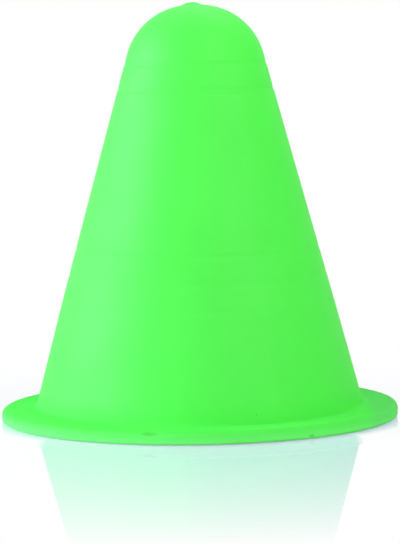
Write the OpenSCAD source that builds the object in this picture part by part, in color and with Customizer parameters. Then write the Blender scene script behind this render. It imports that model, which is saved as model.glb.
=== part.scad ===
/* [Body] */
// Height from the ground to the top of the rounded nose, without the gate mark
body_h = 79.05; // [74:0.05:90]
// Outside radius that the straight taper would reach at the ground
foot_r = 32.3; // [30.5:0.1:33.5]
// How far the skirt below the lowest ring is drawn in at the ground
foot_tuck = 0.2; // [0:0.05:0.5]
// Wall thickness of the moulding
wall = 1.3; // [0.9:0.05:1.8]

/* [Nose] */
// Radius of the flatter crown on top of the nose
crown_r = 15.6; // [14.6:0.1:20]
// Half angle of the crown, from the axis to where the shoulder begins
crown_angle = 16.7; // [10:0.1:22]
// Radius of the shoulder between the crown and the taper
shoulder_r = 12.6; // [11.5:0.1:13.5]
// Radius of the low gate mark on the crown, where it runs out into it
gate_r = 2.3; // [1.2:0.1:3]
// Height of the gate mark at its middle
gate_h = 0.42; // [0.2:0.02:0.6]
// How far the gate mark lies from the axis, towards -X
gate_offset = 0.3; // [0:0.05:1.5]

/* [Flange] */
// Width of the flange, from the body's foot out to the rim
flange_w = 5.9; // [4.5:0.1:12]
// Height of the flange at its rim
rim_h = 2.45; // [2:0.05:3.2]
// How far the flange's top rises from the rim to the foot of the body
flange_rise = 0.4; // [0:0.05:1]
// Rounding of the rim's upper edge
rim_top_round = 1.05; // [0.4:0.05:1.3]
// Rounding of the rim's lower edge
rim_foot_round = 0.6; // [0.2:0.05:0.65]
// Fillet between the flange's top and the body
foot_fillet = 0.9; // [0.4:0.05:1.5]
// Rounding of the hollow's edge at the ground
mouth_round = 0.45; // [0.2:0.05:0.7]

/* [Ring lines] */
// Number of ring lines below the nose
upper_rings = 2; // [1:1:3]
// Distance from the top of the nose down to the first ring line
upper_ring_drop = 11.15; // [10.8:0.05:14]
// Distance between the ring lines below the nose
upper_ring_pitch = 4.85; // [3:0.05:6]
// Number of ring lines above the skirt
lower_rings = 3; // [1:1:4]
// Height of the lowest ring line above the ground
lower_ring_h = 22.75; // [16:0.05:26]
// Distance between the ring lines above the skirt
lower_ring_pitch = 4.95; // [3:0.05:6]
// Width of a ring line at the surface
ring_line_w = 1.6; // [1:0.1:2]
// Depth of a ring line
ring_line_d = 0.07; // [0.04:0.01:0.12]

/* [Rim nick] */
// Direction of the nick round the axis, counted from +X
nick_angle = 256.4; // [0:0.1:360]
// Length of the nick along the rim
nick_l = 3.8; // [2:0.1:5]
// Depth of the nick
nick_d = 0.35; // [0.15:0.05:0.45]

/* [Hidden] */
$fn = 180;

// How far a cutting shape reaches past the surface that it cuts
overrun = 1;
// How far a rounding arc crosses the line that it runs out into, so that the two meet cleanly
run_out = 0.002;

// Centre of the crown's arc, on the axis
crown_c = [0, body_h - crown_r];
// Direction from there to where the crown ends, and the centre of the shoulder's arc on that line
crown_dir = [sin(crown_angle), cos(crown_angle)];
shoulder_c = crown_c + (crown_r - shoulder_r) * crown_dir;
// Half angle of the taper, which runs from the foot to touch the shoulder's arc
foot_to_shoulder = norm([foot_r, 0] - shoulder_c);
foot_slope = atan2(shoulder_c[1], foot_r - shoulder_c[0]);
half_angle = acos(shoulder_r / foot_to_shoulder) - foot_slope;
// Direction square to the taper, outwards
out_dir = [cos(half_angle), sin(half_angle)];

// Where the taper meets the shoulder, outside and inside
touch_out = shoulder_c + shoulder_r * out_dir;
touch_in = shoulder_c + (shoulder_r - wall) * out_dir;

// The skirt below the lowest ring line
skirt_top = [taper_r(lower_ring_h), lower_ring_h];
skirt_foot = [foot_r - foot_tuck, 0];

// Radius of the flange at its rim
flange_r = skirt_foot[0] + flange_w;
// The flange's top, as a line from the rim towards the body, and where it meets the skirt
rim_top = [flange_r, rim_h];
rim_foot = [flange_r, 0];
top_slope = flange_rise / flange_w;
skirt_lean = (skirt_foot[0] - skirt_top[0]) / lower_ring_h;
root_r = (skirt_foot[0] - skirt_lean * (rim_h + top_slope * flange_r)) / (1 - skirt_lean * top_slope);
root = [root_r, top_h(root_r)];
// Radius inside the body's wall to which the flange reaches
seat_r = root_r - wall / 2;

// The hollow's edge at the ground, and the end of the hollow's overrun below it
mouth = [inner_r(0), 0];
mouth_over = [inner_r(-overrun), -overrun];

// Rounded corners, each as its corner, the centre and radius of its arc and the arc's two ends
rim_foot_round_at = rounded(mouth, rim_foot, rim_top, rim_foot_round);
rim_top_round_at = rounded(rim_foot, rim_top, root, rim_top_round);
foot_fillet_at = rounded(rim_top, root, skirt_top, foot_fillet);
mouth_round_at = rounded(touch_in, mouth, rim_foot, mouth_round);

// How far the crown falls away across the gate mark, the ball that shapes the mark, and its lean
gate_fall = crown_r - sqrt(crown_r * crown_r - gate_r * gate_r);
gate_ball_r = ball_for(2 * gate_r, gate_h + gate_fall);
gate_lean = asin(gate_offset / crown_r);

// Ball that cuts a ring line of the given width and depth
ring_ball_r = ball_for(ring_line_w, ring_line_d);
// Ball that cuts the nick, and its place across the rim's rounded upper edge
nick_ball_r = ball_for(nick_l, nick_d);
nick_c = rim_top_round_at[1] + (rim_top_round + nick_ball_r - nick_d) * unit([1, 1]);

// Radius of the outside of the taper at a height
function taper_r(z) = foot_r - z * tan(half_angle);

// Radius of the hollow at a height on its straight taper
function inner_r(z) = taper_r(z) - wall / cos(half_angle);

// Height of the flange's top at a radius
function top_h(r) = rim_h + top_slope * (flange_r - r);

// Radius of a ball that leaves a cut of this width and depth in a flat face, or a mound of that size on it
function ball_for(width, depth) = (width * width / 4 + depth * depth) / (2 * depth);

// The vector at length one
function unit(v) = v / norm(v);

// The arc that rounds the corner between two neighbours and touches both of its edges
function rounded(before, corner, after, radius) =
    let (a = unit(before - corner), b = unit(after - corner), half = acos(a * b) / 2)
    [corner, corner + unit(a + b) * radius / sin(half), radius,
        corner + a * radius / tan(half), corner + b * radius / tan(half)];

// What lies between a rounded corner's arc and its edges, reaching this far past the edges
module corner_web(at, reach) {
    centre = at[1];
    grow = 1 + reach / at[2];
    difference() {
        polygon([centre, centre + grow * (at[3] - centre), centre + grow * (at[0] - centre),
            centre + grow * (at[4] - centre)]);
        translate(centre) circle(at[2] + run_out);
    }
}

// Half of the section through the nose and taper, with this much wall taken off its outside
module dome_section(inset, taper_foot, taper_touch) {
    reach = 2 * crown_r;
    intersection() {
        translate(crown_c) circle(crown_r - inset);
        translate(crown_c) polygon([[0, 0], reach * crown_dir, [0, reach]]);
    }
    intersection() {
        translate(shoulder_c) circle(shoulder_r - inset + run_out);
        translate([0, crown_c[1]]) square([2 * shoulder_r, crown_r]);
    }
    polygon(concat([[0, taper_foot[0][1]]], taper_foot, [taper_touch, shoulder_c, crown_c]));
}

// Half of the section through the whole moulding, on the right of the axis
module shell_section() {
    difference() {
        union() {
            dome_section(0, [skirt_foot, skirt_top], touch_out);
            polygon([[seat_r, 0], rim_foot, rim_top, [seat_r, top_h(seat_r)]]);
            corner_web(foot_fillet_at, wall / 2);
        }
        dome_section(wall, [mouth_over], touch_in);
        for (at = [rim_foot_round_at, rim_top_round_at, mouth_round_at]) corner_web(at, overrun);
        ring_lines(body_h - upper_ring_drop, -upper_ring_pitch, upper_rings);
        ring_lines(lower_ring_h, lower_ring_pitch, lower_rings);
    }
}

// Sections of the balls that cut a row of ring lines into the taper
module ring_lines(first_h, step, count) {
    for (i = [0 : count - 1]) {
        h = first_h + i * step;
        translate([taper_r(h), h] + (ring_ball_r - ring_line_d) * out_dir) circle(ring_ball_r);
    }
}

// Low mound left on the crown where the moulding was pulled off its runner
module gate_mark() {
    sink = wall / 2;
    translate([0, 0, crown_c[1]]) rotate([0, -gate_lean, 0]) rotate_extrude() intersection() {
        translate([0, crown_r + gate_h - gate_ball_r]) circle(gate_ball_r);
        translate([0, crown_r - sink]) square([2 * gate_r, sink + gate_h + overrun]);
    }
}

// Shallow nick in the rounded edge of the rim
module rim_nick() {
    rotate([0, 0, nick_angle]) translate([nick_c[0], 0, nick_c[1]]) sphere(nick_ball_r);
}

// The one-piece moulding: hollow rounded cone with a flat flange, open at the ground
module cone_shell() {
    color([0.35, 0.97, 0.36]) {
        difference() {
            union() {
                rotate_extrude() shell_section();
                gate_mark();
            }
            rim_nick();
        }
    }
}

cone_shell();
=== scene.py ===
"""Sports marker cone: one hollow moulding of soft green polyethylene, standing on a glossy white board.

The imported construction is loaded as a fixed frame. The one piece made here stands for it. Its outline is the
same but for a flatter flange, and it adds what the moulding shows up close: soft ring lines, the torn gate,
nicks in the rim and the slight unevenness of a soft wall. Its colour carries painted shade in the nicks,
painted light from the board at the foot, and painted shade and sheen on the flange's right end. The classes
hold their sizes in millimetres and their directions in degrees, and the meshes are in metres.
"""

import logging
import math
from dataclasses import dataclass
from enum import Enum

import bpy
import numpy as np
from mathutils import Matrix, Vector


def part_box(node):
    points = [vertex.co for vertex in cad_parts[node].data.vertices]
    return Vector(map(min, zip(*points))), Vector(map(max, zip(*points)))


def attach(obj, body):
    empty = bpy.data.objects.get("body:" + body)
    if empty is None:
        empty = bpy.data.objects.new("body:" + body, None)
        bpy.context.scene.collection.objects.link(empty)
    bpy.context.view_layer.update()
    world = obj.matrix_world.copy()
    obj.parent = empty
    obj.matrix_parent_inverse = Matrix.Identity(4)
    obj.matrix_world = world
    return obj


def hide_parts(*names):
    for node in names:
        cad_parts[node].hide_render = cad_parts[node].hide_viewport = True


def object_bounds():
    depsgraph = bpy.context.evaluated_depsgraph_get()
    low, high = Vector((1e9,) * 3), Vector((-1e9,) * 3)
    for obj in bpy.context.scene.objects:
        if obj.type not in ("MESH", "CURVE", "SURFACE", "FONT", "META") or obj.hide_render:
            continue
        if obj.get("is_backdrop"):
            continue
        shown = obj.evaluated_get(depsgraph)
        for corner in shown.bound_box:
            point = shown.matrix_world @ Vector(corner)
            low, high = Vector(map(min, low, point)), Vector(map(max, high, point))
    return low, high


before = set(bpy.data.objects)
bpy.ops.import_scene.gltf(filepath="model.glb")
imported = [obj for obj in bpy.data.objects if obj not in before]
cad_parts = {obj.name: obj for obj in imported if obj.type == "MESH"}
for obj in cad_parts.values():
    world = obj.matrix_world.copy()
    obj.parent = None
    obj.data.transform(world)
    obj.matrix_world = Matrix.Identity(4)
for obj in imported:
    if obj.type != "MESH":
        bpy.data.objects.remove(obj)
cad_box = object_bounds()

LOG = logging.getLogger("marker_cone")
MM = 0.001
UP = math.pi / 2
FULL_TURN = 2 * math.pi

Colour = tuple[float, float, float]
Place = tuple[float, float, float]
Range = tuple[float, float]
Socket = bpy.types.NodeSocket


class SeenBy(Enum):
    """Rays that see the backdrop as plain white, by the output that tells them apart."""

    CAMERA = "Is Camera Ray"
    GLOSS = "Is Glossy Ray"
    GLASS = "Is Transmission Ray"


class Mixing(Enum):
    """Ways to blend two colours, by the node's name for them."""

    OVER = "MIX"
    LESS = "SUBTRACT"


class Ease(Enum):
    """Curves between the ends of a range, by the node's name for them."""

    STRAIGHT = "LINEAR"
    SOFT = "SMOOTHSTEP"


class Cloth(Enum):
    """Cloths in front of the lamps, by the colour that they let through."""

    WHITE = (1.0, 1.0, 1.0)
    PALE_BLUE = (0.8, 0.8, 1.0)
    BLUE = (0.72, 0.72, 1.0)


class Stretch(Enum):
    """Stretches of the half section, in the order in which its path meets them."""

    CROWN = 0
    SHOULDER = 1
    TAPER = 2
    SKIRT = 3
    FILLET = 4
    FLANGE_TOP = 5
    RIM = 6
    GROUND = 7
    MOUTH = 8
    HOLLOW = 9


class Trace(Enum):
    """Marks that the mesh carries for its finish, by the attribute's name."""

    # how deep a point lies in a nick; the colour uses it for painted shade in the nick
    NICK = "nick_depth"
    GATE = "gate_tear"
    FLANGE = "dull_flange"


@dataclass(frozen=True)
class Grain:
    """A cloudy pattern: the size of its clouds, its finer layers, and the part of its values in use."""

    size: float
    layers: float
    ends: Range = (0.0, 1.0)


class Wiring:
    """Adds nodes to a node tree and joins their sockets."""

    def __init__(self, tree: bpy.types.NodeTree) -> None:
        """Takes over a tree and empties it.

        Args:
            tree: the node tree of a material or of the world.
        """
        self.tree = tree
        tree.nodes.clear()

    def put(self, socket: Socket, value: object) -> None:
        """Joins a socket to another one, or gives it a value."""
        if isinstance(value, Socket):
            self.tree.links.new(value, socket)
        else:
            socket.default_value = value

    def node(self, kind: str, inputs: dict | None = None, **settings: object) -> bpy.types.Node:
        """Adds one node.

        Args:
            kind: the node's type.
            inputs: what goes into its sockets, by name or index: another node's socket, or a value.
            settings: properties of the node.

        Returns:
            The new node.
        """
        made = self.tree.nodes.new(kind)
        for name, value in settings.items():
            setattr(made, name, value)
        for key, value in (inputs or {}).items():
            self.put(made.inputs[key], value)
        return made

    def maths(self, operation: str, *values: object) -> Socket:
        """One step of arithmetic.

        Args:
            operation: the operation's name.
            values: its operands, sockets or numbers.

        Returns:
            The result's socket.
        """
        return self.node("ShaderNodeMath", dict(enumerate(values)), operation=operation).outputs[0]

    def vectors(self, operation: str, *values: object) -> bpy.types.Node:
        """One step of arithmetic on places.

        Args:
            operation: the operation's name.
            values: its operands, sockets or vectors.

        Returns:
            The node, whose output Value or Vector holds the result.
        """
        return self.node("ShaderNodeVectorMath", dict(enumerate(values)), operation=operation)

    def blend(self, share: object, first: object, second: object, how: Mixing = Mixing.OVER) -> Socket:
        """Blends two colours.

        Args:
            share: how much of the second shows.
            first: the colour that shows at no share.
            second: the colour that is blended in.
            how: the way in which it is blended in.

        Returns:
            The blended colour's socket.
        """
        made = self.tree.nodes.new("ShaderNodeMix")
        made.data_type = "RGBA"
        made.blend_type = how.value
        sockets = {socket.identifier: socket for socket in made.inputs}
        self.put(sockets["Factor_Float"], share)
        self.put(sockets["A_Color"], first)
        self.put(sockets["B_Color"], second)
        return next(socket for socket in made.outputs if socket.identifier == "Result_Color")

    def noise(self, place: Socket, grain: Grain) -> Socket:
        """A cloudy pattern.

        Args:
            place: the coordinates that it lies on, in metres.
            grain: its clouds.

        Returns:
            The socket of a value about one half.
        """
        inputs = {"Vector": place, "Scale": 1 / (grain.size * MM), "Detail": grain.layers}
        return self.node("ShaderNodeTexNoise", inputs).outputs["Fac"]

    def ranged(self, value: Socket, ends: Range, to: Range, how: Ease = Ease.STRAIGHT) -> Socket:
        """Carries a value from one range to another and holds it there.

        Args:
            value: the socket of the value.
            ends: the range that it comes in.
            to: the range that it goes out in.
            how: the curve between the ends.

        Returns:
            The result's socket.
        """
        inputs = {"Value": value, "From Min": ends[0], "From Max": ends[1]}
        inputs.update({"To Min": to[0], "To Max": to[1]})
        return self.node("ShaderNodeMapRange", inputs, interpolation_type=how.value).outputs["Result"]

    def sees_white(self) -> Socket:
        """One for the rays that see the backdrop as plain white, and nothing for the others.

        Returns:
            The socket of that value.
        """
        path = self.node("ShaderNodeLightPath")
        seen = path.outputs[SeenBy.CAMERA.value]
        for kind in (SeenBy.GLOSS, SeenBy.GLASS):
            seen = self.maths("MAXIMUM", seen, path.outputs[kind.value])
        return seen


def opaque(colour: Colour) -> tuple[float, float, float, float]:
    """The colour with full cover."""
    return (*colour, 1.0)


def grey(level: float) -> tuple[float, float, float, float]:
    """A neutral colour of one level."""
    return opaque((level, level, level))


def millimetres(ends: Range) -> Range:
    """A range that is given in millimetres, in metres."""
    return ends[0] * MM, ends[1] * MM


def heading(degrees: float) -> np.ndarray:
    """The direction on the ground at an azimuth, counted from +X."""
    angle = math.radians(degrees)
    return np.array([math.cos(angle), math.sin(angle)])


def shortest(turn: float | np.ndarray) -> float | np.ndarray:
    """The same turn, between half a turn back and half a turn on."""
    return (turn + math.pi) % FULL_TURN - math.pi


@dataclass(frozen=True)
class Speck:
    """A tiny speck of dust that went into the skin with the melt: full up to its core, then fading."""

    azimuth: float
    height: float
    distance: float
    size: float
    core: float = 0.3

    def place(self) -> Vector:
        """Its middle, in metres."""
        x, y = heading(self.azimuth) * self.distance
        return Vector((x, y, self.height)) * MM

    def fading(self) -> Range:
        """The distances from its middle between which it fades, in metres."""
        return millimetres((self.core * self.size, self.size))


@dataclass(frozen=True)
class SoftPolyethylene:
    """Dyed soft polyethylene: a strong colour, a satin skin, and light that goes a little way in."""

    slot: str = "green_polyethylene"
    colour: Colour = (0.083, 0.92, 0.072)
    deep_colour: Colour = (0.079, 0.9, 0.068)
    # painted shade in the nicks' hollows, blended in by the nick mark
    painted_nick_shade_colour: Colour = (0.083, 0.76, 0.06)
    # painted light from the white board, paler at the foot
    painted_foot_light_colour: Colour = (0.168, 0.98, 0.176)
    # painted shade and sheen on the flange's right end: less green and greyer
    painted_shade_sheen_colour: Colour = (0.106, 0.8, 0.114)
    dust_colour: Colour = (0.03, 0.5, 0.03)
    roughness: Range = (0.54, 0.62)
    torn_roughness: float = 0.75
    flange_roughness: float = 0.85
    # how high the painted light at the foot reaches
    painted_foot_light_height: float = 2.7
    # the range along X over which that painted shade and sheen blends in
    painted_shade_sheen_side: Range = (30.1, 33.6)
    shine: float = 0.32
    refraction: float = 1.51
    depth_share: float = 0.12
    depth: float = 1.2
    clouds: Grain = Grain(size=17.0, layers=2.0, ends=(0.35, 0.65))
    patches: Grain = Grain(size=6.0, layers=3.0, ends=(0.3, 0.7))
    coarse_skin: Grain = Grain(size=1.6, layers=1.0)
    coarse_height: float = 0.006
    fine_skin: Grain = Grain(size=0.35, layers=2.0)
    fine_height: float = 0.0015
    dust_cover: float = 0.6

    def material(self, name: str, specks: tuple[Speck, ...]) -> bpy.types.Material:
        """Makes the finish.

        Args:
            name: the material's name.
            specks: the dust in the skin.

        Returns:
            The material.
        """
        made = bpy.data.materials.new(name)
        made.use_nodes = True
        wires = Wiring(made.node_tree)
        place = wires.node("ShaderNodeTexCoord").outputs["Object"]
        shader = wires.node("ShaderNodeBsdfPrincipled", {
            "Base Color": self.dye(wires, place, specks),
            "Roughness": self.satin(wires, place),
            "Normal": self.skin(wires, place),
            "IOR": self.refraction,
            "Specular IOR Level": self.shine,
            "Subsurface Weight": self.depth_share,
            "Subsurface Radius": Vector((1.0, 1.0, 1.0)),
            "Subsurface Scale": self.depth * MM,
        })
        wires.node("ShaderNodeOutputMaterial", {"Surface": shader.outputs["BSDF"]})
        return made

    def mark(self, wires: Wiring, trace: Trace) -> Socket:
        """The socket of a mark that the mesh carries."""
        return wires.node("ShaderNodeAttribute", attribute_name=trace.value).outputs["Fac"]

    def dye(self, wires: Wiring, place: Socket, specks: tuple[Speck, ...]) -> Socket:
        """The colour: cloudy, with painted shade and sheen on the flange's right end, painted light from the
        board at the foot, painted shade in the nicks, and specks.

        Args:
            wires: the material's wiring.
            place: coordinates on the piece.
            specks: the dust in the skin.

        Returns:
            The colour's socket.
        """
        clouds = wires.ranged(wires.noise(place, self.clouds), self.clouds.ends, (0.0, 1.0))
        colour = wires.blend(clouds, opaque(self.colour), opaque(self.deep_colour))
        apart = wires.node("ShaderNodeSeparateXYZ", {"Vector": place}).outputs
        # painted shade and sheen on the flange's right end
        shade_sheen = wires.ranged(apart["X"], millimetres(self.painted_shade_sheen_side), (0.0, 1.0), Ease.SOFT)
        colour = wires.blend(shade_sheen, colour, opaque(self.painted_shade_sheen_colour))
        # painted light from the white board, fading out up the foot
        foot = wires.ranged(apart["Z"], millimetres((0.0, self.painted_foot_light_height)), (1.0, 0.0), Ease.SOFT)
        colour = wires.blend(foot, colour, opaque(self.painted_foot_light_colour))
        # painted shade in the nicks
        colour = wires.blend(self.mark(wires, Trace.NICK), colour, opaque(self.painted_nick_shade_colour))
        for speck in specks:
            away = wires.vectors("DISTANCE", place, speck.place()).outputs["Value"]
            cover = wires.ranged(away, speck.fading(), (self.dust_cover, 0.0))
            colour = wires.blend(cover, colour, opaque(self.dust_colour))
        return colour

    def satin(self, wires: Wiring, place: Socket) -> Socket:
        """The roughness: satin in soft patches, dull on the flange and where the gate tore.

        Args:
            wires: the material's wiring.
            place: coordinates on the piece.

        Returns:
            The roughness socket.
        """
        roughness = wires.ranged(wires.noise(place, self.patches), self.patches.ends, self.roughness)
        for trace, dull in ((Trace.FLANGE, self.flange_roughness), (Trace.GATE, self.torn_roughness)):
            share = self.mark(wires, trace)
            kept = wires.maths("MULTIPLY", roughness, wires.maths("SUBTRACT", 1.0, share))
            roughness = wires.maths("MULTIPLY_ADD", share, dull, kept)
        return roughness

    def skin(self, wires: Wiring, place: Socket) -> Socket:
        """The fine relief that the mould leaves, in two grains.

        Args:
            wires: the material's wiring.
            place: coordinates on the piece.

        Returns:
            The normal's socket.
        """
        coarse = wires.node("ShaderNodeBump", {
            "Height": wires.noise(place, self.coarse_skin),
            "Distance": self.coarse_height * MM,
        })
        fine = wires.node("ShaderNodeBump", {
            "Height": wires.noise(place, self.fine_skin),
            "Distance": self.fine_height * MM,
            "Normal": coarse.outputs["Normal"],
        })
        return fine.outputs["Normal"]


@dataclass(frozen=True)
class GlossyBoard:
    """White glossy board: white to the camera, with the object's shadow and a faint mirror.

    The mirror shows in a strip in front of the body and in a narrow band along the rim, and fades outwards.
    """

    mirror_tint: Colour = (0.49, 0.8, 0.29)
    mirror_fade: Range = (36.0, 139.0)
    mirror_sides: Range = (27.8, 30.0)
    mirror_front: Range = (22.0, 26.0)
    mirror_band: Range = (38.0, 42.0)
    mirror_roughness: float = 0.02
    shadow_share: float = 0.17
    shadow_fade: Range = (40.0, 90.0)
    bounce: float = 0.9

    def material(self, name: str) -> bpy.types.Material:
        """Makes the finish.

        Args:
            name: the material's name.

        Returns:
            The material.
        """
        made = bpy.data.materials.new(name)
        made.use_nodes = True
        wires = Wiring(made.node_tree)
        place = wires.node("ShaderNodeTexCoord").outputs["Object"]
        away = wires.vectors("LENGTH", place).outputs["Value"]
        seen = wires.node("ShaderNodeLightPath").outputs[SeenBy.CAMERA.value]
        share = wires.maths("MULTIPLY", self.mirror_share(wires, place, away), seen)
        mirror = wires.blend(share, grey(0.0), opaque(self.mirror_tint))
        rest = wires.blend(1.0, grey(1.0), mirror, Mixing.LESS)
        shade = wires.ranged(away, millimetres(self.shadow_fade), (self.shadow_share, 0.0))
        shaded = wires.node("ShaderNodeBsdfDiffuse", {"Color": wires.blend(shade, grey(0.0), rest)})
        glow = wires.node("ShaderNodeEmission", {"Color": wires.blend(shade, rest, grey(0.0))})
        gloss = wires.node("ShaderNodeBsdfGlossy", {"Color": mirror, "Roughness": self.mirror_roughness})
        white = wires.node("ShaderNodeAddShader", {0: shaded.outputs[0], 1: glow.outputs[0]})
        shown = wires.node("ShaderNodeAddShader", {0: white.outputs[0], 1: gloss.outputs[0]})
        plain = wires.node("ShaderNodeBsdfDiffuse", {"Color": grey(self.bounce)})
        both = wires.node("ShaderNodeMixShader", {
            0: wires.sees_white(), 1: plain.outputs[0], 2: shown.outputs[0]})
        wires.node("ShaderNodeOutputMaterial", {"Surface": both.outputs[0]})
        return made

    def mirror_share(self, wires: Wiring, place: Socket, away: Socket) -> Socket:
        """How strongly the mirror shows: one less the square of the way out, in the strip and the band.

        Args:
            wires: the material's wiring.
            place: coordinates on the board.
            away: the distance from the object's axis.

        Returns:
            The share's socket.
        """
        out = wires.ranged(away, millimetres(self.mirror_fade), (0.0, 1.0))
        fade = wires.maths("SUBTRACT", 1.0, wires.maths("MULTIPLY", out, out))
        apart = wires.node("ShaderNodeSeparateXYZ", {"Vector": place}).outputs
        beside = wires.maths("ABSOLUTE", apart["X"])
        before = wires.maths("MULTIPLY", apart["Y"], -1.0)
        wide = wires.ranged(beside, millimetres(self.mirror_sides), (1.0, 0.0), Ease.SOFT)
        ahead = wires.ranged(before, millimetres(self.mirror_front), (0.0, 1.0), Ease.SOFT)
        band = wires.ranged(away, millimetres(self.mirror_band), (1.0, 0.0), Ease.SOFT)
        shown = wires.maths("MAXIMUM", wires.maths("MULTIPLY", wide, ahead), band)
        return wires.maths("MULTIPLY", fade, shown)


def unit(vector: np.ndarray) -> np.ndarray:
    """The vector at length one."""
    return vector / np.linalg.norm(vector)


def smooth(share: np.ndarray) -> np.ndarray:
    """Eases a share from nothing to one: three times its square less twice its cube, held at both ends."""
    held = np.clip(share, 0, 1)
    return held * held * (3 - 2 * held)


def arc(centre: np.ndarray, radius: float, start: float, end: float, count: int) -> np.ndarray:
    """Points evenly along an arc: the centre, plus the radius times the cosine and sine of each angle.

    Args:
        centre: the arc's centre, as radius and height.
        radius: the arc's radius.
        start: the first angle in radians, counted from the outward direction up.
        end: the last angle.
        count: how many points.

    Returns:
        The points, one a row.
    """
    angle = np.linspace(start, end, count)
    return centre + radius * np.stack([np.cos(angle), np.sin(angle)], -1)


def straight(first: np.ndarray, last: np.ndarray, count: int) -> np.ndarray:
    """Points evenly along a line: the first, plus a growing share of the way to the last.

    Args:
        first: where it starts.
        last: where it ends.
        count: how many points.

    Returns:
        The points, one a row.
    """
    return first + np.linspace(0, 1, count)[:, None] * (last - first)


def rounded(before: np.ndarray, corner: np.ndarray, after: np.ndarray,
            radius: float, count: int) -> np.ndarray:
    """The arc that rounds a corner and touches both of its edges.

    Its centre lies on the line that halves the corner, at the radius over the sine of half the corner's
    angle. It touches each edge at the radius over the tangent of that half.

    Args:
        before: a point on the edge that comes in.
        corner: the corner.
        after: a point on the edge that goes out.
        radius: the arc's radius.
        count: how many points.

    Returns:
        The points from the first edge to the second, one a row.
    """
    back = unit(before - corner)
    onward = unit(after - corner)
    half = math.acos(float(back @ onward)) / 2
    centre = corner + unit(back + onward) * radius / math.sin(half)
    first = corner + back * radius / math.tan(half) - centre
    last = corner + onward * radius / math.tan(half) - centre
    start = math.atan2(first[1], first[0])
    turn = shortest(math.atan2(last[1], last[0]) - start)
    return arc(centre, radius, start, start + turn, count)


@dataclass
class Section:
    """The half section as a path of rows, each with its radius, height, outward normal and stretch."""

    points: np.ndarray
    stretches: np.ndarray

    @property
    def along(self) -> np.ndarray:
        """The length of the path from its start to each row."""
        steps = np.linalg.norm(np.diff(self.points, axis=0), axis=1)
        return np.concatenate([[0.0], np.cumsum(steps)])

    @property
    def normals(self) -> np.ndarray:
        """The outward normals: the path's direction at each row, turned a quarter to the left."""
        way = np.gradient(self.points, self.along, axis=0)
        way[0] = (1.0, 0.0)
        way[-1] = (-1.0, 0.0)
        way /= np.linalg.norm(way, axis=1)[:, None]
        return np.stack([-way[:, 1], way[:, 0]], -1)

    def on(self, *stretches: Stretch) -> np.ndarray:
        """Which rows lie on these stretches, as a column of ones and noughts."""
        return np.isin(self.stretches, [stretch.value for stretch in stretches]).astype(float)[:, None]


@dataclass(frozen=True)
class RingLines:
    """Fine lines turned into the mould round the taper: shallow troughs that fade in and out on the way.

    A line's rows reach to either side of its middle by the reach times its width, and no other row comes
    nearer than the clearance times its width. A wave round the axis has a number of crests, and a shift in
    radians from line to line.
    """

    heights: tuple[float, ...] = (67.9, 63.05, 32.65, 27.8, 22.75)
    depths: tuple[float, ...] = (0.09, 0.105, 0.074, 0.052, 0.038)
    width: float = 1.7
    rows: int = 15
    reach: float = 0.6
    clearance: float = 0.8
    fading: float = 0.3
    clearest_azimuth: float = 265.0
    wander: float = 0.3
    two_crests: tuple[int, float] = (2, 1.7)
    three_crests: tuple[int, float] = (3, -0.9)

    def cut(self, section: Section, angle: np.ndarray) -> np.ndarray:
        """How deep each point lies in the lines.

        A line's trough is half of one plus the cosine of the distance from its middle, over half its width.
        Its depth grows towards the clearest side, and comes and goes with two waves round the axis.

        Args:
            section: the half section.
            angle: the azimuths of the columns, in radians.

        Returns:
            The depth at each row and column.
        """
        height = section.points[:, 1:]
        depth = np.zeros((len(height), len(angle)))
        for line, (middle, deepest) in enumerate(zip(self.heights, self.depths)):
            away = np.clip(np.abs(height - middle) / (self.width / 2), 0, 1)
            trough = (1 + np.cos(math.pi * away)) / 2
            first, second = (crests * angle + shift * line
                             for crests, shift in (self.two_crests, self.three_crests))
            waves = self.wander * np.sin(first) * np.cos(second)
            clear = np.cos(angle - math.radians(self.clearest_azimuth)) + waves
            depth += deepest * trough * (1 + self.fading * clear)
        return depth * section.on(Stretch.TAPER, Stretch.SKIRT)

    def rows_across(self) -> np.ndarray:
        """The heights of the rows that a line needs across it, for all lines."""
        across = np.linspace(-self.reach, self.reach, self.rows) * self.width
        return (np.array(self.heights)[:, None] + across).ravel()

    def clear_of(self, heights: np.ndarray) -> np.ndarray:
        """Which of these heights lie well away from every line."""
        return np.abs(heights[:, None] - np.array(self.heights)).min(1) > self.clearance * self.width


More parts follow.
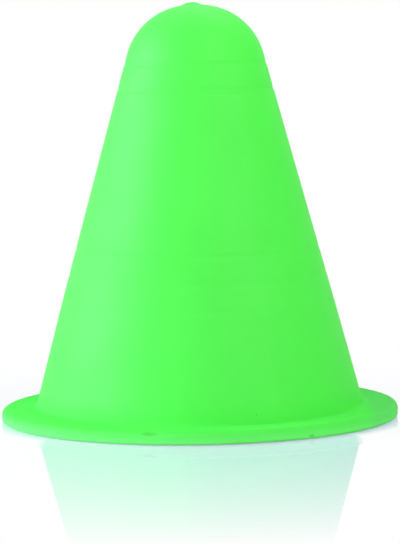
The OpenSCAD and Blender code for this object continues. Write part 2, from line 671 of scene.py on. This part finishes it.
@dataclass(frozen=True)
class GateMark:
    """The low stub on the crown where the moulding was pulled off its runner: a lopsided hill, torn on top.

    The foot's ripple is a share of its radius. The torn waves are shares of one turn over the torn grain,
    along X and along Y. Shifts are in radians.
    """

    middle: tuple[float, float] = (-0.3, 0.0)
    radius: float = 2.2
    lopsided: float = 0.3
    ripple: float = 0.05
    ripple_crests: int = 3
    ripple_shift: float = 1.0
    height: float = 0.4
    flat_top: float = 1.3
    torn_share: float = 0.85
    torn_edge: float = 2.0
    torn_depth: float = 0.035
    torn_grain: float = 0.28
    torn_waves: tuple[float, float] = (0.31, 0.37)
    torn_shift: float = 1.0
    reach: float = 3.8

    def hill(self, x: np.ndarray, y: np.ndarray) -> np.ndarray:
        """The hill's shape, from nothing at its foot to one at its middle.

        It eases up with the share of the way from its foot to its middle, and is flat near the middle. Its
        foot is further out on the left, and ripples as it goes round.

        Args:
            x: distances to the right of the axis.
            y: distances behind the axis.

        Returns:
            The share of the full height at each point.
        """
        dx = x - self.middle[0]
        dy = y - self.middle[1]
        way = np.arctan2(dy, dx)
        ripple = self.ripple * self.radius * np.cos(self.ripple_crests * way + self.ripple_shift)
        foot = self.radius - self.lopsided * np.cos(way) + ripple
        return smooth(self.flat_top * (1 - np.hypot(dx, dy) / foot))

    def torn(self, x: np.ndarray, y: np.ndarray) -> np.ndarray:
        """Where the skin is torn: one on the hill's top, easing to nothing lower down."""
        return smooth((self.hill(x, y) - self.torn_share) / (1 - self.torn_share) * self.torn_edge)

    def rise(self, x: np.ndarray, y: np.ndarray) -> np.ndarray:
        """How far the stub stands above the crown: the hill, less fine crossing waves where it is torn.

        Args:
            x: distances to the right of the axis.
            y: distances behind the axis.

        Returns:
            The rise at each point.
        """
        along_x, along_y = np.array(self.torn_waves) * (FULL_TURN / self.torn_grain)
        waves = (np.sin(along_x * x + self.torn_shift) * np.cos(along_y * y) + 1) / 2
        return self.height * self.hill(x, y) - self.torn_depth * waves * self.torn(x, y)


@dataclass(frozen=True)
class RimNick:
    """A nick in the rim: a lens-shaped scoop across the edge, with the plastic pushed up beside it.

    The lip's place and spread are shares of half the scoop's length and half its width.
    """

    azimuth: float
    height: float
    length: float
    width: float
    depth: float
    lip: float
    lip_place: tuple[float, float] = (0.8, -1.5)
    lip_spread: tuple[float, float] = (0.45, 0.8)

    def across(self, section: Section, angle: np.ndarray,
               rim_radius: float) -> tuple[np.ndarray, np.ndarray]:
        """Where each point lies against the scoop, as shares of half its length and half its width.

        Args:
            section: the half section.
            angle: the azimuths of the columns, in radians.
            rim_radius: the radius of the rim.

        Returns:
            The shares along the rim for the columns, and down the section for the rows.
        """
        turn = shortest(angle - math.radians(self.azimuth))
        rows = np.flatnonzero(section.stretches == Stretch.RIM.value)
        nearest = rows[np.abs(section.points[rows, 1] - self.height).argmin()]
        down = section.along - section.along[nearest]
        return turn * rim_radius / (self.length / 2), down[:, None] / (self.width / 2)

    def cut(self, section: Section, angle: np.ndarray, rim_radius: float) -> np.ndarray:
        """The scoop's depth: one less the squares of both shares, times its full depth.

        Args:
            section: the half section.
            angle: the azimuths of the columns, in radians.
            rim_radius: the radius of the rim.

        Returns:
            The depth at each row and column.
        """
        along, down = self.across(section, angle, rim_radius)
        return self.depth * np.clip(1 - along * along - down * down, 0, 1)

    def pushed_up(self, section: Section, angle: np.ndarray, rim_radius: float) -> np.ndarray:
        """The lip's rise: a bell above and to the right of the scoop.

        Args:
            section: the half section.
            angle: the azimuths of the columns, in radians.
            rim_radius: the radius of the rim.

        Returns:
            The rise at each row and column.
        """
        along, down = self.across(section, angle, rim_radius)
        aside = (along - self.lip_place[0]) / self.lip_spread[0]
        above = (down - self.lip_place[1]) / self.lip_spread[1]
        return self.lip * np.exp(-aside ** 2 - above ** 2)


@dataclass(frozen=True)
class SoftWall:
    """The unevenness of a soft, thin moulding: a thicker side of the rim, a slight lean and a bow."""

    rim_swell: float = 0.2
    swell_azimuth: float = 0.0
    lean: float = 0.2
    lean_azimuth: float = 0.0
    bow: float = 0.09
    bow_azimuth: float = 180.0

    def lift(self, radius: np.ndarray, height: np.ndarray, angle: np.ndarray,
             root: float, rim: float) -> np.ndarray:
        """How far the flange's top is raised: the cosine of the turn from its thick side, growing outwards.

        Args:
            radius: the rows' radii.
            height: the rows' heights.
            angle: the azimuths of the columns, in radians.
            root: the radius at which the flange starts.
            rim: the radius of the rim.

        Returns:
            The lift at each row and column.
        """
        outwards = smooth((radius - root) / (rim - root))
        share = np.clip(height / height[radius > root].max(), 0, 1)
        return self.rim_swell * outwards * share * np.cos(angle - math.radians(self.swell_azimuth))

    def shift(self, height: np.ndarray, top: float) -> np.ndarray:
        """How far each row moves sideways: the lean in step with the height, and half a sine wave of bow.

        Args:
            height: the rows' heights.
            top: the height of the nose.

        Returns:
            The sideways moves along X and Y at each row.
        """
        share = np.clip(height / top, 0, 1)
        bowed = self.bow * np.sin(math.pi * share) * heading(self.bow_azimuth)
        return self.lean * share * heading(self.lean_azimuth) + bowed


@dataclass(frozen=True)
class Rows:
    """How many rows of points the stretches and the rounded edges of the half section get."""

    gate: int = 28
    crown: int = 6
    shoulder: int = 20
    fillet: int = 9
    flange_top: int = 11
    top_edge: int = 19
    rim: int = 5
    foot_edge: int = 7
    ground: int = 5
    mouth_edge: int = 6
    hollow: int = 17
    inner_shoulder: int = 14
    inner_crown: int = 7


@dataclass
class MouldedCone:
    """The whole object: nose, taper, skirt and flange in one skin of plastic round an open hollow."""

    flange_radius: float
    name: str = "moulded_cone"
    stands_for: str = "cone_shell"
    body: str = "root"
    body_height: float = 79.05
    foot_radius: float = 32.3
    foot_tuck: float = 0.2
    wall: float = 1.3
    crown_radius: float = 15.6
    crown_angle: float = 16.7
    shoulder_radius: float = 12.6
    rim_height: float = 2.45
    flange_rise: float = 0.05
    rim_top_round: float = 1.05
    rim_foot_round: float = 0.6
    foot_fillet: float = 0.9
    mouth_round: float = 0.45
    dull_fade: Range = (0.4, 1.2)
    columns: int = 400
    column_steps: int = 7200
    nick_columns: float = 4.0
    nick_reach: float = 0.8
    row_pitch: float = 2.4
    rows: Rows = Rows()
    rings: RingLines = RingLines()
    gate: GateMark = GateMark()
    nicks: tuple[RimNick, ...] = (
        RimNick(azimuth=256.1, height=2.2, length=4.3, width=1.5, depth=0.26, lip=0.16),
        RimNick(azimuth=302.3, height=0.6, length=1.5, width=0.6, depth=0.05, lip=0.0),
    )
    unevenness: SoftWall = SoftWall()
    finish: SoftPolyethylene = SoftPolyethylene()
    specks: tuple[Speck, ...] = (
        Speck(azimuth=210.0, height=8.5, distance=29.94, size=0.32),
        Speck(azimuth=289.5, height=4.3, distance=31.1, size=0.3),
        Speck(azimuth=323.5, height=2.8, distance=32.2, size=0.34),
        Speck(azimuth=15.9, height=2.6, distance=37.1, size=0.3),
    )

    def section(self) -> Section:
        """The half section, from the top of the nose down the outside, under the rim and up the hollow.

        The crown, the shoulder and every edge are arcs that touch their neighbours. The hollow is the
        outside, one wall further in.

        Returns:
            The section's rows.
        """
        rows = self.rows
        lean = UP - math.radians(self.crown_angle)
        crown = np.array([0.0, self.body_height - self.crown_radius])
        towards_shoulder = np.array([math.cos(lean), math.sin(lean)])
        shoulder = crown + (self.crown_radius - self.shoulder_radius) * towards_shoulder
        ground = np.array([self.foot_radius, 0.0])
        slope = math.atan2(shoulder[1], ground[0] - shoulder[0])
        half_angle = math.acos(self.shoulder_radius / float(np.linalg.norm(ground - shoulder))) - slope
        outwards = np.array([math.cos(half_angle), math.sin(half_angle)])
        touch = shoulder + self.shoulder_radius * outwards
        inner_touch = touch - self.wall * outwards
        low = self.rings.heights[-1]
        skirt = np.array([self.foot_radius - low * math.tan(half_angle), low])
        foot = ground - np.array([self.foot_tuck, 0.0])
        rise = self.flange_rise / (self.flange_radius - foot[0])
        drawn = (foot[0] - skirt[0]) / low
        root = (foot[0] - drawn * (self.rim_height + rise * self.flange_radius)) / (1 - drawn * rise)
        corner = np.array([root, self.rim_height + rise * (self.flange_radius - root)])
        rim_top = np.array([self.flange_radius, self.rim_height])
        rim_foot = np.array([self.flange_radius, 0.0])
        mouth = ground - np.array([self.wall / math.cos(half_angle), 0.0])
        fillet = rounded(skirt, corner, rim_top, self.foot_fillet, rows.fillet)
        top_edge = rounded(corner, rim_top, rim_foot, self.rim_top_round, rows.top_edge)
        foot_edge = rounded(rim_top, rim_foot, mouth, self.rim_foot_round, rows.foot_edge)
        mouth_edge = rounded(rim_foot, mouth, inner_touch, self.mouth_round, rows.mouth_edge)
        gate_turn = self.gate.reach / self.crown_radius
        inner_shoulder = self.shoulder_radius - self.wall
        inner_crown = self.crown_radius - self.wall
        path = [
            (Stretch.CROWN, arc(crown, self.crown_radius, UP, UP - gate_turn, rows.gate)),
            (Stretch.CROWN, arc(crown, self.crown_radius, UP - gate_turn, lean, rows.crown)),
            (Stretch.SHOULDER, arc(shoulder, self.shoulder_radius, lean, half_angle, rows.shoulder)),
            (Stretch.TAPER, self.ringed(touch, skirt)),
            (Stretch.SKIRT, self.ringed(skirt, fillet[0])),
            (Stretch.FILLET, fillet),
            (Stretch.FLANGE_TOP, straight(fillet[-1], top_edge[0], rows.flange_top)),
            (Stretch.RIM, top_edge),
            (Stretch.RIM, straight(top_edge[-1], foot_edge[0], rows.rim)),
            (Stretch.RIM, foot_edge),
            (Stretch.GROUND, straight(foot_edge[-1], mouth_edge[0], rows.ground)),
            (Stretch.MOUTH, mouth_edge),
            (Stretch.HOLLOW, straight(mouth_edge[-1], inner_touch, rows.hollow)),
            (Stretch.HOLLOW, arc(shoulder, inner_shoulder, half_angle, lean, rows.inner_shoulder)),
            (Stretch.HOLLOW, arc(crown, inner_crown, lean, UP, rows.inner_crown)),
        ]
        return self.joined(path)

    def joined(self, path: list[tuple[Stretch, np.ndarray]]) -> Section:
        """Joins the stretches of the path, each of which starts where the one before it ends.

        Args:
            path: the stretches in order, with their points.

        Returns:
            The section, with its two ends exactly on the axis.
        """
        own = [(stretch, piece[1:] if index else piece) for index, (stretch, piece) in enumerate(path)]
        points = np.concatenate([piece for _, piece in own])
        kinds = np.concatenate([np.full(len(piece), stretch.value) for stretch, piece in own])
        points[[0, -1], 0] = 0.0
        return Section(points, kinds)

    def ringed(self, first: np.ndarray, last: np.ndarray) -> np.ndarray:
        """A straight stretch down the body, with rows close together across each ring line.

        Args:
            first: its upper end.
            last: its lower end.

        Returns:
            The points from the upper end down, one a row.
        """
        span = first[1] - last[1]
        even = np.linspace(last[1], first[1], max(int(span / self.row_pitch), 2))
        heights = np.concatenate([even[self.rings.clear_of(even)], self.rings.rows_across()])
        heights = heights[(heights < first[1]) & (heights > last[1])]
        share = (first[1] - np.concatenate([[first[1]], np.sort(heights)[::-1], [last[1]]])) / span
        return first + share[:, None] * (last - first)

    def azimuths(self) -> np.ndarray:
        """The columns' azimuths in radians, closer together at the nicks.

        Each column takes an equal share of a weight that is one all round, plus a bell at each nick.

        Returns:
            The azimuths.
        """
        fine = np.linspace(0, FULL_TURN, self.column_steps + 1)
        weight = np.ones_like(fine)
        for nick in self.nicks:
            turn = shortest(fine - math.radians(nick.azimuth))
            away = turn * self.flange_radius / (self.nick_reach * nick.length)
            weight += self.nick_columns * np.exp(-away ** 2)
        total = np.concatenate([[0.0], np.cumsum((weight[1:] + weight[:-1]) / 2)])
        return np.interp(np.arange(self.columns) / self.columns, total / total[-1], fine)

    def surface(self, section: Section, angle: np.ndarray) -> tuple[np.ndarray, dict[Trace, np.ndarray]]:
        """The skin: the section turned round the axis, moved along its normal by the lines and the nicks.

        A point is its row's radius times the cosine and sine of its column's azimuth, and its row's height.
        The soft wall's unevenness and the gate's stub are added to that.

        Args:
            section: the half section.
            angle: the azimuths of the columns, in radians.

        Returns:
            The points by row and column, and the marks at each of them.
        """
        radius = section.points[:, :1]
        height = section.points[:, 1:]
        outside = section.on(Stretch.FLANGE_TOP, Stretch.RIM, Stretch.FILLET)
        root = section.points[section.stretches == Stretch.FILLET.value, 0].min()
        out = -self.rings.cut(section, angle)
        # the share of each nick's depth, which the colour turns into painted shade
        nick_shade_mask = np.zeros_like(out)
        for nick in self.nicks:
            cut = nick.cut(section, angle, self.flange_radius) * outside
            out += nick.pushed_up(section, angle, self.flange_radius) * outside - cut
            nick_shade_mask = np.maximum(nick_shade_mask, smooth(cut / nick.depth))
        normal = section.normals
        spread = radius + out * normal[:, :1]
        spread *= radius > 0
        raised = height + out * normal[:, 1:]
        raised += outside * self.unevenness.lift(radius, height * outside, angle, root, self.flange_radius)
        shift = self.unevenness.shift(height, self.body_height)
        x = spread * np.cos(angle) + shift[:, :1]
        y = spread * np.sin(angle) + shift[:, 1:]
        on_crown = section.on(Stretch.CROWN)
        raised += on_crown * self.gate.rise(x, y)
        gate_mark = on_crown * self.gate.torn(x, y)
        flange_mark = np.broadcast_to(self.dulled(section), x.shape)
        return np.stack([x, y, raised], -1), {
            Trace.NICK: nick_shade_mask, Trace.GATE: gate_mark, Trace.FLANGE: flange_mark}

    def dulled(self, section: Section) -> np.ndarray:
        """Where the skin is dull: the fillet, the flange's upper side and the rim, easing out past them.

        Args:
            section: the half section.

        Returns:
            The share at each row, as a column.
        """
        along = section.along
        dull = np.flatnonzero(section.on(Stretch.FILLET, Stretch.FLANGE_TOP, Stretch.RIM)[:, 0])
        above = (along[dull[0]] - along) / self.dull_fade[0]
        beyond = (along - along[dull[-1]]) / self.dull_fade[1]
        return smooth(1 - np.maximum(above, beyond))[:, None]

    def mesh(self) -> bpy.types.Mesh:
        """Closes the skin into a mesh: four-sided faces between the rows, and a fan at each end.

        Returns:
            The mesh, in metres, with its marks.
        """
        section = self.section()
        angle = self.azimuths()
        points, marks = self.surface(section, angle)
        rows, columns = points.shape[:2]
        inner = rows - 2
        ends = [points[0].mean(0), points[-1].mean(0)]
        corners = np.concatenate([ends[:1], points[1:-1].reshape(-1, 3), ends[1:]]) * MM
        index = 1 + np.arange(inner * columns).reshape(inner, columns)
        beside = np.roll(index, -1, axis=1)
        quads = np.stack([index[:-1], index[1:], beside[1:], beside[:-1]], -1).reshape(-1, 4)
        top = np.stack([np.zeros(columns, int), index[0], beside[0]], -1)
        end = np.stack([index[-1], np.full(columns, len(corners) - 1), beside[-1]], -1)
        made = bpy.data.meshes.new(self.name)
        made.from_pydata(corners.tolist(), [], top.tolist() + quads.tolist() + end.tolist())
        made.polygons.foreach_set("use_smooth", np.ones(len(made.polygons), bool))
        for trace, values in marks.items():
            flat = np.concatenate([values[0, :1], values[1:-1].ravel(), values[-1, :1]])
            attribute = made.attributes.new(trace.value, "FLOAT", "POINT")
            attribute.data.foreach_set("value", flat.astype(np.float32))
        made.validate()
        made.update()
        return made

    def build(self) -> bpy.types.Object:
        """Makes the piece, dresses it and lets it stand for the construction.

        Returns:
            The piece.
        """
        piece = bpy.data.objects.new(self.name, self.mesh())
        bpy.context.scene.collection.objects.link(piece)
        piece.data.materials.append(self.finish.material("soft_green_polyethylene", self.specks))
        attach(piece, self.body)
        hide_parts(self.stands_for)
        LOG.info("%s: %d faces", piece.name, len(piece.data.polygons))
        return piece


@dataclass(frozen=True)
class Softbox:
    """A flat square lamp behind cloth and a grid.

    Its side is counted from the camera's direction, to the left, and its rise from the level of the object's
    middle. It faces that middle, or a point raised above it. Its grid dims the light that leaves it aslant,
    so less light comes to the ground than to the nose, and a grid of 180 degrees dims nothing.
    """

    name: str
    side: float
    rise: float
    distance: float
    width: float
    brightness: float
    cloth: Cloth = Cloth.WHITE
    raised: float = 0.0
    grid: float = 180.0

    def place(self, target: Vector) -> Vector:
        """Where it hangs: the target, plus its distance along the direction that its two angles give."""
        side = math.radians(self.side)
        rise = math.radians(self.rise)
        level = math.cos(rise)
        away = Vector((-math.sin(side) * level, -math.cos(side) * level, math.sin(rise)))
        return target + away * self.distance * MM

    def build(self, target: Vector) -> bpy.types.Object:
        """Hangs the lamp.

        Its energy is its brightness times pi times its area, times one less half the grid's angle over the
        tangent of that half. The last keeps the light straight ahead as bright under a narrower grid.

        Args:
            target: the object's middle, in metres.

        Returns:
            The lamp.
        """
        data = bpy.data.lights.new(self.name, "AREA")
        data.shape = "SQUARE"
        data.size = self.width * MM
        data.spread = math.radians(self.grid)
        half = data.spread / 2
        data.energy = self.brightness * math.pi * data.size * data.size * (1 - half / math.tan(half))
        data.color = self.cloth.value
        lamp = bpy.data.objects.new(self.name, data)
        bpy.context.scene.collection.objects.link(lamp)
        lamp.location = self.place(target)
        lamp.rotation_mode = "QUATERNION"
        faced = target + Vector((0.0, 0.0, self.raised)) * MM
        lamp.rotation_quaternion = (faced - lamp.location).to_track_quat("-Z", "Y")
        lamp.visible_camera = False
        LOG.info("%s: %.1f W", lamp.name, data.energy)
        return lamp


@dataclass(frozen=True)
class Studio:
    """A white board under eight softboxes: four on the left, one in front, two on the right, one behind."""

    board_size: float = 6000.0
    board: GlossyBoard = GlossyBoard()
    aim: Place = (0.0, 0.0, 38.0)
    softboxes: tuple[Softbox, ...] = (
        Softbox("left_softbox", side=80.0, rise=20.0, distance=500.0, width=400.0, brightness=2.59,
                cloth=Cloth.BLUE),
        Softbox("left_upper_softbox", side=80.0, rise=20.0, distance=500.0, width=400.0, brightness=4.45,
                cloth=Cloth.BLUE, raised=200.0, grid=116.0),
        Softbox("left_rear_softbox", side=95.0, rise=15.0, distance=500.0, width=400.0, brightness=2.67,
                cloth=Cloth.BLUE, raised=200.0, grid=116.0),
        Softbox("left_near_softbox", side=85.0, rise=30.0, distance=400.0, width=250.0, brightness=4.45,
                cloth=Cloth.BLUE, raised=150.0, grid=100.0),
        Softbox("front_softbox", side=0.0, rise=12.0, distance=900.0, width=350.0, brightness=2.84),
        Softbox("right_upper_softbox", side=-45.0, rise=50.0, distance=330.0, width=200.0, brightness=4.65,
                raised=100.0, grid=116.0),
        Softbox("right_softbox", side=-45.0, rise=25.0, distance=330.0, width=200.0, brightness=3.18,
                raised=100.0, grid=116.0),
        Softbox("back_softbox", side=-160.0, rise=60.0, distance=700.0, width=300.0, brightness=5.75,
                cloth=Cloth.PALE_BLUE),
    )

    def build(self) -> None:
        """Lays the board, hangs the backdrop and places the lamps."""
        self.lay_board()
        self.hang_backdrop()
        for softbox in self.softboxes:
            softbox.build(Vector(self.aim) * MM)

    def lay_board(self) -> bpy.types.Object:
        """Lays the board on the ground.

        Returns:
            The board.
        """
        half = self.board_size * MM / 2
        corners = [(-half, -half, 0), (half, -half, 0), (half, half, 0), (-half, half, 0)]
        data = bpy.data.meshes.new("white_board")
        data.from_pydata(corners, [], [(0, 1, 2, 3)])
        board = bpy.data.objects.new("white_board", data)
        bpy.context.scene.collection.objects.link(board)
        data.materials.append(self.board.material("glossy_white_board"))
        board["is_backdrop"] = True
        return board

    def hang_backdrop(self) -> bpy.types.World:
        """Makes the world: white to the camera and to reflections, and no light on the object.

        Returns:
            The world.
        """
        world = bpy.data.worlds.new("white_backdrop")
        world.use_nodes = True
        wires = Wiring(world.node_tree)
        sky = wires.node("ShaderNodeBackground", {"Color": grey(1.0), "Strength": wires.sees_white()})
        wires.node("ShaderNodeOutputWorld", {"Surface": sky.outputs["Background"]})
        bpy.context.scene.world = world
        return world


@dataclass(frozen=True)
class PhotoCamera:
    """The photograph's viewpoint: from the front, a little above the object, with a long lens."""

    place: Place = (0.0, -572.03, 80.603)
    target: Place = (0.43, 0.0, 27.988)
    roll: float = -0.877
    focal_length: float = 198.69
    sensor: float = 36.0
    nearest: float = 10.0

    def build(self) -> bpy.types.Object:
        """Sets up the camera and makes it the scene's own.

        Returns:
            The camera.
        """
        data = bpy.data.cameras.new("photo_camera")
        data.lens = self.focal_length
        data.sensor_width = self.sensor
        data.clip_start = self.nearest * MM
        camera = bpy.data.objects.new("photo_camera", data)
        bpy.context.scene.collection.objects.link(camera)
        away = Vector(self.place) - Vector(self.target)
        level = away.to_track_quat("Z", "Y").to_matrix().to_4x4()
        turned = level @ Matrix.Rotation(math.radians(self.roll), 4, "Z")
        camera.matrix_world = Matrix.Translation(Vector(self.place) * MM) @ turned
        bpy.context.scene.camera = camera
        return camera


def write_sizes() -> None:
    """Logs the construction's box and the dressed object's box, in millimetres."""
    boxes = {"cad": cad_box, "visual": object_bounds()}
    for name, (low, high) in boxes.items():
        LOG.info("%s box: %s", name, " x ".join(f"{span / MM:.2f}" for span in high - low))


def main() -> None:
    """Builds the cone, the studio and the camera round the frame."""
    logging.basicConfig(level=logging.INFO, format="%(message)s")
    low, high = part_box("cone_shell")
    MouldedCone(flange_radius=(high.x - low.x) / 2 / MM).build()
    Studio().build()
    PhotoCamera().build()
    view = bpy.context.scene.view_settings
    view.view_transform = "Standard"
    write_sizes()


if __name__ == "__main__":
    main()
